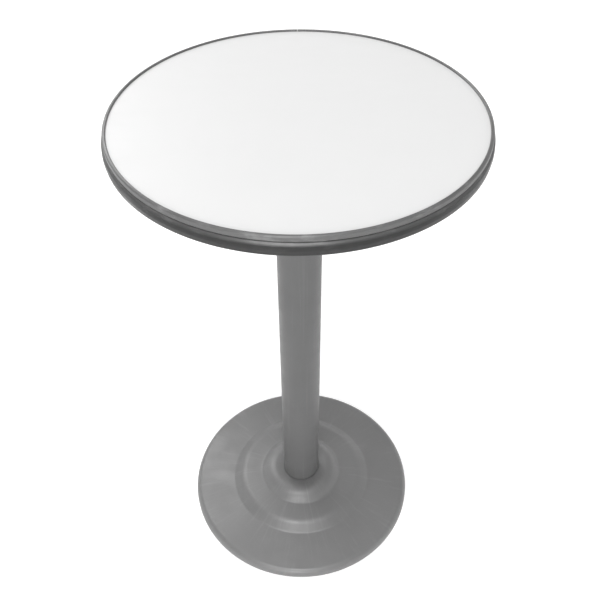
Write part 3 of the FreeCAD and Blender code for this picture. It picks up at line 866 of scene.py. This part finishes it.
def glide_stud(x, y):
    """A threaded stud with a hexagon for a spanner and a flanged pivot for the pad."""
    bottom = low("glide_stud_1").z
    top = high("glide_stud_1").z
    radius = hexagon(HEX_FLATS)
    drop = hexagon_chamfer(HEX_FLATS)
    crest = GLIDE_RADIUS - GLIDE_CLEARANCE
    thread = metric_radius(crest, GLIDE_PITCH)
    neck = crest - GLIDE_PITCH * THREAD_DEPTH_SHARE - 0.05
    face = HEX_FLATS / 2 - 0.2
    flange_top = bottom + PIVOT_FLANGE_HEIGHT
    shape = Shape(SMALL, x, y)
    shape.ring(0, bottom)
    shape.rings(rounded([
        (1.0, bottom, 0), (PIVOT_FLANGE_RADIUS, bottom, 0.3), (PIVOT_FLANGE_RADIUS, flange_top, 0.3),
        (PIVOT_RADIUS, flange_top, 0.2), (PIVOT_RADIUS, HEX_BOTTOM, 0.2), (face, HEX_BOTTOM, 0),
    ], step_degrees=30.0))
    shape.ring(radius, lambda turn: HEX_BOTTOM + drop(turn))
    shape.ring(radius, lambda turn: HEX_TOP - drop(turn))
    shape.ring(face, HEX_TOP)
    shape.ring(neck, HEX_TOP)

    def radius_at(share, height):
        return min(thread(share), neck + (top - height))

    shape.follow_thread(GLIDE_PITCH, HEX_TOP + 0.8, top, radius_at, (neck, neck - 0.3))
    shape.ring(0, top)
    return shape.bm


def glide_pad(x, y):
    """A moulded pad: a flat foot with a shallow ring, a soft shoulder, and the pivot's undercut socket."""
    node = "glide_pad_1"
    edge = (high(node).x - low(node).x) / 2
    top = high(node).z
    pivot = PIVOT_RADIUS + GLIDE_CLEARANCE
    flange = PIVOT_FLANGE_RADIUS + GLIDE_CLEARANCE
    seat = low("glide_stud_1").z - GLIDE_CLEARANCE
    flange_top = seat + PIVOT_FLANGE_HEIGHT + 2 * GLIDE_CLEARANCE
    outline = rounded([
        (0, 0.3, 0), (4.0, 0.3, 0), (4.6, 0, 0.2), (9.0, 0, 0.2), (9.4, 0.35, 0.15), (10.6, 0.35, 0.15),
        (11.0, 0, 0.2), (edge - 1.2, 0, 0.4), (edge, 1.2, 0.6), (edge, 2.6, 0.8), (10.0, top, 1.2),
        (pivot + 0.4, top, 0.2), (pivot, top - 0.4, 0), (pivot, flange_top, 0), (flange, flange_top, 0),
        (flange, seat, 0), (0, seat, 0),
    ], step_degrees=20.0)
    return turned(outline, MEDIUM, x, y)


# ---- materials

class Finish:
    """A procedural material under construction: one Principled shader and the nodes that drive it."""

    def __init__(self, name, colour, metallic=0.0, roughness=0.5, specular=0.5):
        self.material = bpy.data.materials.new(name)
        self.material.use_nodes = True
        self.nodes = self.material.node_tree.nodes
        self.links = self.material.node_tree.links
        self.shader = self.nodes["Principled BSDF"]
        self.shader.inputs["Base Color"].default_value = (*colour, 1.0)
        self.shader.inputs["Metallic"].default_value = metallic
        self.shader.inputs["Roughness"].default_value = roughness
        self.shader.inputs["Specular IOR Level"].default_value = specular
        coordinates = self.nodes.new("ShaderNodeTexCoord")
        self.place = coordinates.outputs["Object"]
        self.facing = coordinates.outputs["Normal"]
        self.height = None

    def link(self, source, target):
        self.links.new(source, target)

    def maths(self, operation, a, b=0.0, c=0.0):
        node = self.nodes.new("ShaderNodeMath")
        node.operation = operation
        for socket, value in zip(node.inputs, (a, b, c)):
            if isinstance(value, (int, float)):
                socket.default_value = value
            else:
                self.link(value, socket)
        return node.outputs[0]

    def scaled(self, x, y, z, place=None):
        """The coordinates stretched, so that a pattern runs long where the factor is small."""
        node = self.nodes.new("ShaderNodeVectorMath")
        node.operation = "MULTIPLY"
        self.link(place or self.place, node.inputs[0])
        node.inputs[1].default_value = (x, y, z)
        return node.outputs[0]

    def polar(self):
        """Coordinates (angle as a length at unit radius, radius, height) about the column's axis."""
        split = self.nodes.new("ShaderNodeSeparateXYZ")
        self.link(self.place, split.inputs[0])
        angle = self.maths("ARCTAN2", split.outputs["Y"], split.outputs["X"])
        squares = self.maths("MULTIPLY_ADD", split.outputs["X"], split.outputs["X"],
                             self.maths("MULTIPLY", split.outputs["Y"], split.outputs["Y"]))
        joined = self.nodes.new("ShaderNodeCombineXYZ")
        self.link(angle, joined.inputs["X"])
        self.link(self.maths("SQRT", squares), joined.inputs["Y"])
        self.link(split.outputs["Z"], joined.inputs["Z"])
        return joined.outputs[0]

    def noise(self, scale, detail=4.0, rough=0.55, place=None):
        node = self.nodes.new("ShaderNodeTexNoise")
        node.inputs["Scale"].default_value = scale
        node.inputs["Detail"].default_value = detail
        node.inputs["Roughness"].default_value = rough
        self.link(place or self.place, node.inputs["Vector"])
        return node.outputs["Fac"]

    def cells(self, scale, output="Distance", place=None):
        node = self.nodes.new("ShaderNodeTexVoronoi")
        node.inputs["Scale"].default_value = scale
        self.link(place or self.place, node.inputs["Vector"])
        return node.outputs[output]

    def between(self, value, start, end, low_out=0.0, high_out=1.0):
        """value carried from start..end to low_out..high_out, and held at the ends."""
        node = self.nodes.new("ShaderNodeMapRange")
        node.interpolation_type = "SMOOTHSTEP"
        self.link(value, node.inputs["Value"])
        node.inputs["From Min"].default_value = start
        node.inputs["From Max"].default_value = end
        node.inputs["To Min"].default_value = low_out
        node.inputs["To Max"].default_value = high_out
        return node.outputs["Result"]

    def tint(self, amount, colour):
        """Mixes a colour into the base colour by amount."""
        socket = self.shader.inputs["Base Color"]
        node = self.nodes.new("ShaderNodeMix")
        node.data_type = "RGBA"
        self.link(amount, node.inputs["Factor"])
        if socket.is_linked:
            self.link(socket.links[0].from_socket, node.inputs["A"])
        else:
            node.inputs["A"].default_value = socket.default_value
        node.inputs["B"].default_value = (*colour, 1.0)
        self.link(node.outputs["Result"], socket)

    def mottle(self, pattern, start, end, amount, colour):
        """Mixes a colour in, up to amount, where a pattern goes from start to end."""
        self.tint(self.between(pattern, start, end, 0.0, amount), colour)

    def roughness(self, pattern, start, end, low_out, high_out):
        """Roughness from low_out to high_out where a pattern goes from start to end."""
        self.link(self.between(pattern, start, end, low_out, high_out), self.shader.inputs["Roughness"])

    def bump(self, value, depth, strength=1.0):
        """Adds a bump of that depth in metres over the ones before it."""
        node = self.nodes.new("ShaderNodeBump")
        node.inputs["Distance"].default_value = depth
        node.inputs["Strength"].default_value = strength
        self.link(value, node.inputs["Height"])
        if self.height:
            self.link(self.height, node.inputs["Normal"])
        self.height = node.outputs["Normal"]
        self.link(self.height, self.shader.inputs["Normal"])


def grey(value):
    return (value, value, value)


def laminate_finish():
    """White high-pressure laminate: a fine pebble, faint mottling, and wear that shows only in the gloss."""
    made = Finish("white_laminate", grey(0.59), roughness=0.45, specular=0.3)
    made.mottle(made.noise(3.0), 0.35, 0.7, 0.5, grey(0.58))
    made.mottle(made.noise(1400.0, detail=2.0), 0.4, 0.75, 0.25, grey(0.55))
    wiped = made.noise(9.0, detail=5.0, rough=0.6, place=made.scaled(1.0, 2.6, 1.0))
    made.roughness(wiped, 0.3, 0.75, 0.36, 0.52)
    made.bump(made.noise(1100.0, detail=2.0), depth=0.00004, strength=0.6)
    made.bump(made.cells(520.0), depth=0.00003, strength=0.35)
    return made.material


def backing_finish():
    """Paper-backed balancing laminate: dull, a little fibrous and blotchy."""
    made = Finish("backing_sheet", grey(0.36), roughness=0.75, specular=0.25)
    made.mottle(made.noise(14.0, detail=6.0, rough=0.65), 0.3, 0.7, 0.7, grey(0.29))
    fibres = made.noise(240.0, rough=0.6, place=made.scaled(1.0, 6.0, 1.0))
    made.tint(made.between(fibres, 0.45, 0.8), grey(0.42))
    made.bump(made.noise(420.0, detail=5.0, rough=0.7), depth=0.00012, strength=0.5)
    made.roughness(made.noise(60.0, detail=3.0), 0.3, 0.7, 0.66, 0.84)
    return made.material


def board_finish():
    """Pressed chips of uneven size and colour."""
    made = Finish("particle_board", (0.50, 0.38, 0.24), roughness=0.85, specular=0.2)
    chips = made.cells(210.0, place=made.scaled(1.0, 1.0, 2.2))
    made.tint(made.between(chips, 0.1, 0.6), (0.36, 0.25, 0.14))
    made.tint(made.between(made.noise(90.0, detail=5.0, rough=0.7), 0.5, 0.75), (0.62, 0.50, 0.34))
    made.bump(chips, depth=0.0005, strength=0.7)
    made.bump(made.noise(900.0), depth=0.0002, strength=0.5)
    made.roughness(chips, 0.0, 0.6, 0.78, 0.92)
    return made.material


def trim_finish():
    """Dark satin metal with hairlines running round the table; painted shade darkens it below the groove and
    along the groove, and lighter streaks are a painted reflection.
    """
    made = Finish("satin_trim", grey(0.13), metallic=0.35, roughness=0.42, specular=0.22)
    polar = made.polar()
    hairlines = made.noise(1.0, rough=0.6, place=made.scaled(26.0, 5200.0, 5200.0, polar))
    handling_and_painted_sheen = made.noise(1.0, rough=0.6, place=made.scaled(7.0, 60.0, 60.0, polar))
    made.mottle(hairlines, 0.35, 0.75, 0.5, grey(0.08))
    # The lighter streaks mixed into the colour here are a painted reflection; the same pattern also varies
    # the gloss below as handling wear.
    made.mottle(handling_and_painted_sheen, 0.5, 0.75, 0.6, grey(0.26))
    split = made.nodes.new("ShaderNodeSeparateXYZ")
    made.link(polar, split.inputs[0])
    groove = (LAMINATE_TOP - GROOVE_DROP) * MM
    # Painted shade: the downward-facing band below the groove is darkened in the colour, fading in over 6 mm.
    band = made.between(split.outputs["Z"], groove, groove - 0.006, 0.0, 0.85)
    made.tint(band, grey(0.016))
    # Painted shade along the groove: the colour goes near black within about a millimetre of it.
    off_groove = made.maths("ABSOLUTE", made.maths("SUBTRACT", split.outputs["Z"], groove))
    made.mottle(off_groove, 0.0012, 0.0, 0.8, grey(0.02))
    made.roughness(handling_and_painted_sheen, 0.3, 0.75, 0.28, 0.46)
    made.bump(hairlines, depth=0.00003, strength=0.5)
    made.bump(made.noise(55.0, detail=3.0), depth=0.0002, strength=0.25)
    return made.material


def powder_coat(name, value, metallic, specular, streaks):
    """The Finish of a fine-textured grey powder coat with a slow change of tone and faint streaks."""
    made = Finish(name, grey(value), metallic=metallic, roughness=0.42, specular=specular)
    tone = made.noise(5.0, rough=0.6)
    made.mottle(tone, 0.3, 0.75, 0.55, grey(value * 0.84))
    speck = made.noise(1500.0, detail=2.0, rough=0.6)
    made.mottle(speck, 0.55, 0.75, 0.5, grey(value * 1.35))
    made.mottle(streaks(made), 0.52, 0.78, 0.45, grey(value * 1.25))
    made.roughness(made.noise(22.0), 0.3, 0.75, 0.36, 0.48)
    made.bump(made.noise(650.0, detail=3.0, rough=0.6), depth=0.0003, strength=0.6)
    made.bump(made.noise(80.0, detail=2.0), depth=0.0002, strength=0.35)
    return made


def bare_underside(made):
    """Where a casting faces down: a thin, dull coat over the sand skin, with rust coming through."""
    normal = made.nodes.new("ShaderNodeSeparateXYZ")
    made.link(made.facing, normal.inputs[0])
    below = made.between(normal.outputs["Z"], 0.05, -0.25)
    made.tint(made.maths("MULTIPLY", below, 0.75), grey(0.085))
    patches = made.between(made.noise(26.0, detail=6.0, rough=0.7), 0.45, 0.62, 0.0, 0.85)
    made.tint(made.maths("MULTIPLY", below, patches), grey(0.19))
    rust = made.between(made.noise(110.0, detail=5.0, rough=0.7), 0.56, 0.68, 0.0, 0.8)
    made.tint(made.maths("MULTIPLY", below, rust), (0.17, 0.10, 0.06))
    skin = made.maths("MULTIPLY", below, made.noise(230.0, rough=0.7))
    made.bump(skin, depth=0.0012, strength=0.7)


def down_the_column(made):
    """Faint runs along the tube."""
    return made.noise(1.0, detail=3.0, place=made.scaled(170.0, 170.0, 3.0))


def out_from_the_hub(made):
    """Faint streaks from the hub to the rim, as feet and mops leave."""
    return made.noise(1.0, rough=0.6, place=made.scaled(22.0, 9.0, 9.0, made.polar()))


def casting_finish():
    """Thin black paint over a sand-cast skin."""
    made = Finish("black_casting", grey(0.035), roughness=0.55, specular=0.4)
    made.mottle(made.noise(70.0, detail=5.0, rough=0.65), 0.45, 0.8, 0.7, grey(0.075))
    made.mottle(made.noise(420.0, detail=3.0), 0.66, 0.78, 0.6, (0.10, 0.075, 0.06))
    made.roughness(made.noise(40.0), 0.3, 0.75, 0.45, 0.72)
    made.bump(made.noise(300.0, rough=0.65), depth=0.0006, strength=0.7)
    made.bump(made.cells(240.0), depth=0.0003, strength=0.35)
    return made.material


def zinc_finish():
    """Bright zinc plate: soft spangle, fine machining lines and a slightly dulled patina."""
    made = Finish("zinc_hardware", (0.60, 0.61, 0.62), metallic=1.0, roughness=0.3)
    spangle = made.cells(260.0, output="Color")
    tone = made.nodes.new("ShaderNodeRGBToBW")
    made.link(spangle, tone.inputs[0])
    made.mottle(tone.outputs[0], 0.2, 0.8, 0.5, (0.47, 0.48, 0.50))
    made.mottle(made.noise(120.0), 0.55, 0.8, 0.35, (0.60, 0.57, 0.46))
    made.roughness(made.noise(90.0), 0.3, 0.75, 0.24, 0.46)
    machining = made.noise(1.0, detail=2.0, rough=0.5, place=made.scaled(500.0, 500.0, 2600.0))
    made.bump(machining, depth=0.00003, strength=0.4)
    return made.material


def nylon_finish():
    """Black moulded nylon, scuffed pale where it slides on the floor."""
    made = Finish("black_nylon", grey(0.028), roughness=0.48, specular=0.45)
    made.mottle(made.noise(200.0), 0.5, 0.8, 0.5, grey(0.05))
    split = made.nodes.new("ShaderNodeSeparateXYZ")
    made.link(made.place, split.inputs[0])
    foot = made.between(split.outputs["Z"], 0.0014, 0.0, 0.0, 0.7)
    scuffed = made.maths("MULTIPLY", foot, made.between(made.noise(700.0, detail=3.0), 0.35, 0.7))
    made.tint(scuffed, grey(0.16))
    made.roughness(made.noise(350.0, detail=3.0), 0.3, 0.7, 0.4, 0.62)
    made.bump(made.noise(900.0, detail=3.0), depth=0.00008, strength=0.5)
    return made.material


# ---- putting it together

def make_finishes():
    """Every slot's material."""
    column_coat = powder_coat("column_paint", 0.12, metallic=0.0, specular=0.2, streaks=down_the_column)
    base_coat = powder_coat("base_paint", 0.18, metallic=0.3, specular=0.45, streaks=out_from_the_hub)
    bare_underside(base_coat)
    return {
        "white_laminate": laminate_finish(),
        "backing_sheet": backing_finish(),
        "particle_board": board_finish(),
        "satin_trim": trim_finish(),
        "column_paint": column_coat.material,
        "base_paint": base_coat.material,
        "black_casting": casting_finish(),
        "zinc_hardware": zinc_finish(),
        "black_nylon": nylon_finish(),
    }


def build():
    """Every piece of the table, each standing for its CAD node."""
    finishes = make_finishes()
    face_sheet = sheet(LAMINATE_RADIUS, CORE_TOP, LAMINATE_TOP)
    for name, bm, node, slot in (
        ("laminate_sheet", face_sheet, "top_laminate", "white_laminate"),
        ("core_board", core_board(), "top_core", "particle_board"),
        ("balancing_sheet", backing_sheet(), "backing_laminate", "backing_sheet"),
        ("trim_strip", edge_trim(), "edge_trim", "satin_trim"),
        ("spider_casting", spider(), "top_spider", "black_casting"),
        ("arm_screws", spider_screws(), "spider_screws", "zinc_hardware"),
        ("column", column(), "column_tube", "column_paint"),
        ("threaded_rod", tie_rod(), "tie_rod", "zinc_hardware"),
        ("upper_nut", rod_nut("tie_rod_top_nut"), "tie_rod_top_nut", "zinc_hardware"),
        ("lower_nut", rod_nut("tie_rod_base_nut"), "tie_rod_base_nut", "zinc_hardware"),
        ("upper_washer", flat_washer("tie_rod_top_washer"), "tie_rod_top_washer", "zinc_hardware"),
        ("lower_washer", flat_washer("tie_rod_base_washer"), "tie_rod_base_washer", "zinc_hardware"),
        ("spring_washer", lock_washer(), "tie_rod_lock_washer", "zinc_hardware"),
        ("pedestal_base", base(), "base_casting", "base_paint"),
    ):
        piece(name, bm, node, finishes[slot])
    for n, (x, y) in zip(GLIDES, glide_places()):
        stud = f"glide_stud_{n}"
        pad = f"glide_pad_{n}"
        piece(f"levelling_stud_{n}", glide_stud(x, y), stud, finishes["zinc_hardware"], stud)
        piece(f"levelling_pad_{n}", glide_pad(x, y), pad, finishes["black_nylon"], pad)


def make_floor():
    """A plain pale floor, far larger than the view, that curves up into a plain wall all round."""
    back = COVE_RADIUS + COVE_WALL
    outline = rounded([
        (0, 0, 0), (COVE_RADIUS / 4, 0, 0), (COVE_RADIUS, 0, COVE_BEND), (COVE_RADIUS, COVE_HEIGHT, 0),
        (back, COVE_HEIGHT, 0), (back, -COVE_WALL, 0), (0, -COVE_WALL, 0),
    ], step_degrees=5.0)
    paint = Finish("pale_floor", grey(0.93), roughness=0.9, specular=0.1)
    paint.shader.inputs["Emission Color"].default_value = (1, 1, 1, 1)
    paint.shader.inputs["Emission Strength"].default_value = FLOOR_GLOW
    floor = finished("floor", turned(outline, MEDIUM), paint.material)


def softbox(name, azimuth, elevation, distance, size, watts, aim=COLUMN_PLACE):
    """A square soft light, placed by its direction from the table: azimuth 0 is the front, 90 the right."""
    a = math.radians(azimuth)
    e = math.radians(elevation)
    away = Vector((math.sin(a) * math.cos(e), -math.cos(a) * math.cos(e), math.sin(e)))
    data = bpy.data.lights.new(name, "AREA")
    data.shape = "SQUARE"
    data.size = size
    data.energy = watts
    lamp = bpy.data.objects.new(name, data)
    lamp.location = Vector(aim) + away * distance
    lamp.rotation_euler = away.to_track_quat("Z", "Y").to_euler()
    bpy.context.scene.collection.objects.link(lamp)


def make_light():
    """Soft studio light: an even surround, and softboxes above, high in front, back left and low in front."""
    world = bpy.data.worlds.new("studio")
    world.use_nodes = True
    background = world.node_tree.nodes["Background"]
    background.inputs["Color"].default_value = (*grey(WORLD_GREY), 1.0)
    bpy.context.scene.world = world
    softbox("top_light", azimuth=180, elevation=78, distance=3.6, size=2.8, watts=28, aim=LAMINATE_PLACE)
    softbox("key_light", azimuth=-10, elevation=70, distance=4.0, size=1.1, watts=64)
    softbox("back_light", azimuth=-145, elevation=48, distance=3.2, size=1.2, watts=22, aim=BASE_PLACE)
    softbox("front_fill", azimuth=-8, elevation=26, distance=3.0, size=1.0, watts=30)
    bpy.context.scene.view_settings.view_transform = "Standard"


def make_camera():
    """A camera at standing eye height, looking down at the table."""
    height = 1.7431
    back = 1.0990
    pitch = math.radians(44.29)
    yaw = math.radians(0.03)
    roll = math.radians(-0.5)
    data = bpy.data.cameras.new("camera")
    data.sensor_width = 36.0
    data.lens = 44.67
    camera = bpy.data.objects.new("camera", data)
    forward = Vector((math.sin(yaw) * math.cos(pitch), math.cos(yaw) * math.cos(pitch), -math.sin(pitch)))
    right = forward.cross(Vector((0, 0, 1))).normalized()
    up = right.cross(forward)
    x_axis = math.cos(roll) * right + math.sin(roll) * up
    y_axis = math.cos(roll) * up - math.sin(roll) * right
    turn = Matrix((x_axis, y_axis, -forward)).transposed()
    camera.matrix_world = Matrix.Translation((0, -back, height)) @ turn.to_4x4()
    bpy.context.scene.collection.objects.link(camera)
    bpy.context.scene.camera = camera


build()
make_floor()
make_light()
make_camera()
